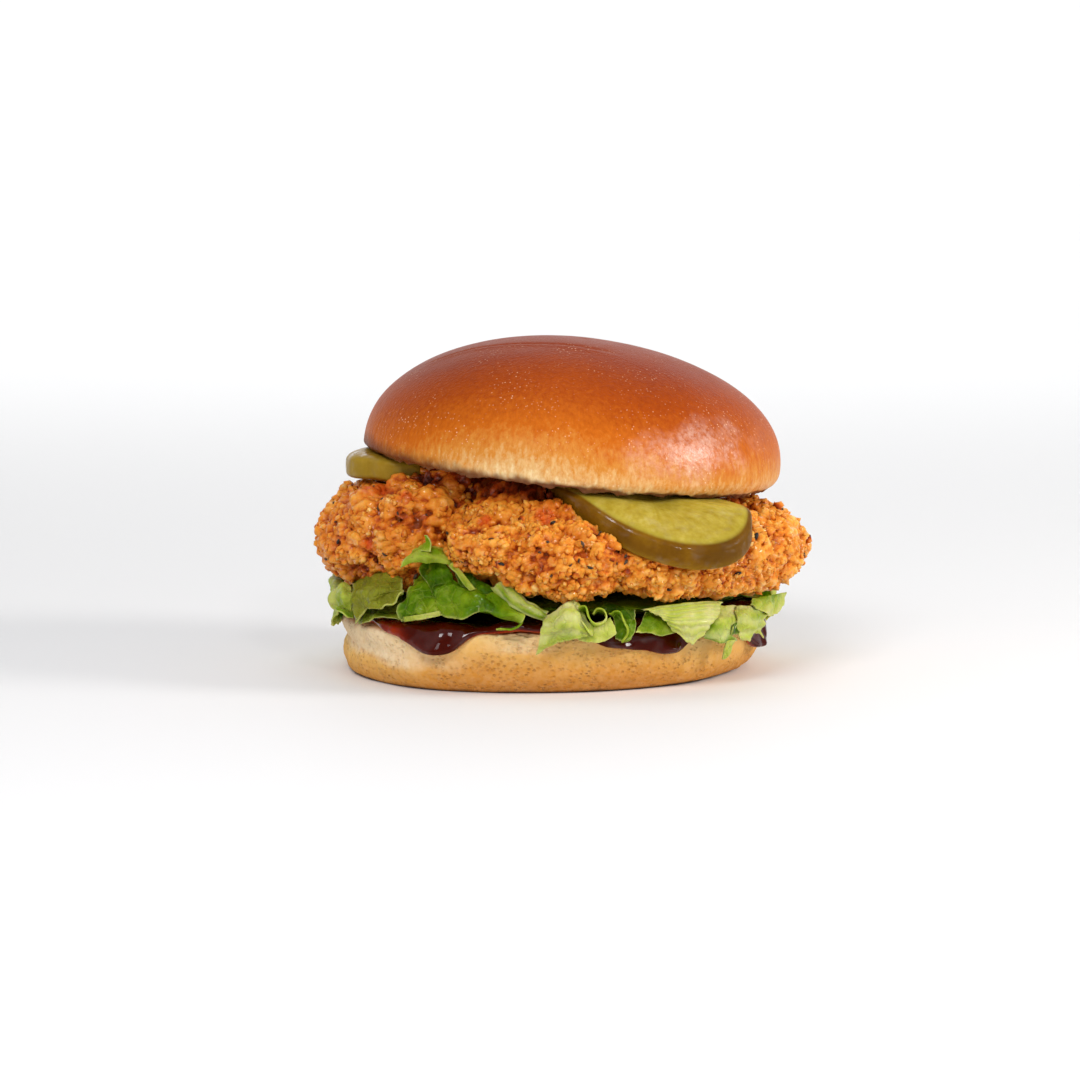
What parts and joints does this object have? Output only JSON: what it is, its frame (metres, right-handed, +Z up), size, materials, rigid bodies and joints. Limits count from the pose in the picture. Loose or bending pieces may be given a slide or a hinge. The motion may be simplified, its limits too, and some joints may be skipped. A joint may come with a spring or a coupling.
{
  "type": "chicken burger",
  "caption": "Crispy fried chicken burger in a glazed soft bun with dark sauce, torn lettuce and pickle slices.",
  "frame": {"origin": "centre of the flat base of the bottom bun", "axes": "+X to the burger's right as it is looked at from the front, +Y to its back, +Z up"},
  "size_m": [0.128, 0.1243, 0.0873],
  "materials": {
    "bun_bottom": "soft toasted bread crust, pale at the top edge, no gloss",
    "sauce": "thick dark red-brown barbecue sauce, wet gloss",
    "lettuce": "fresh crisp leaf, satin, light passes through it",
    "chicken": "craggy golden fried coating with an oily sheen",
    "pickle": "wet yellow-green flesh with a darker olive rind",
    "bun_top": "egg-washed golden-brown crust, soft sheen, pale at the rim"
  },
  "bodies": {
    "root": {"bun_bottom": "bun_bottom", "sauce": "sauce", "lettuce": "lettuce", "chicken": "chicken", "pickle_left": "pickle", "pickle_right": "pickle", "bun_top": "bun_top"}
  },
  "joints": []
}
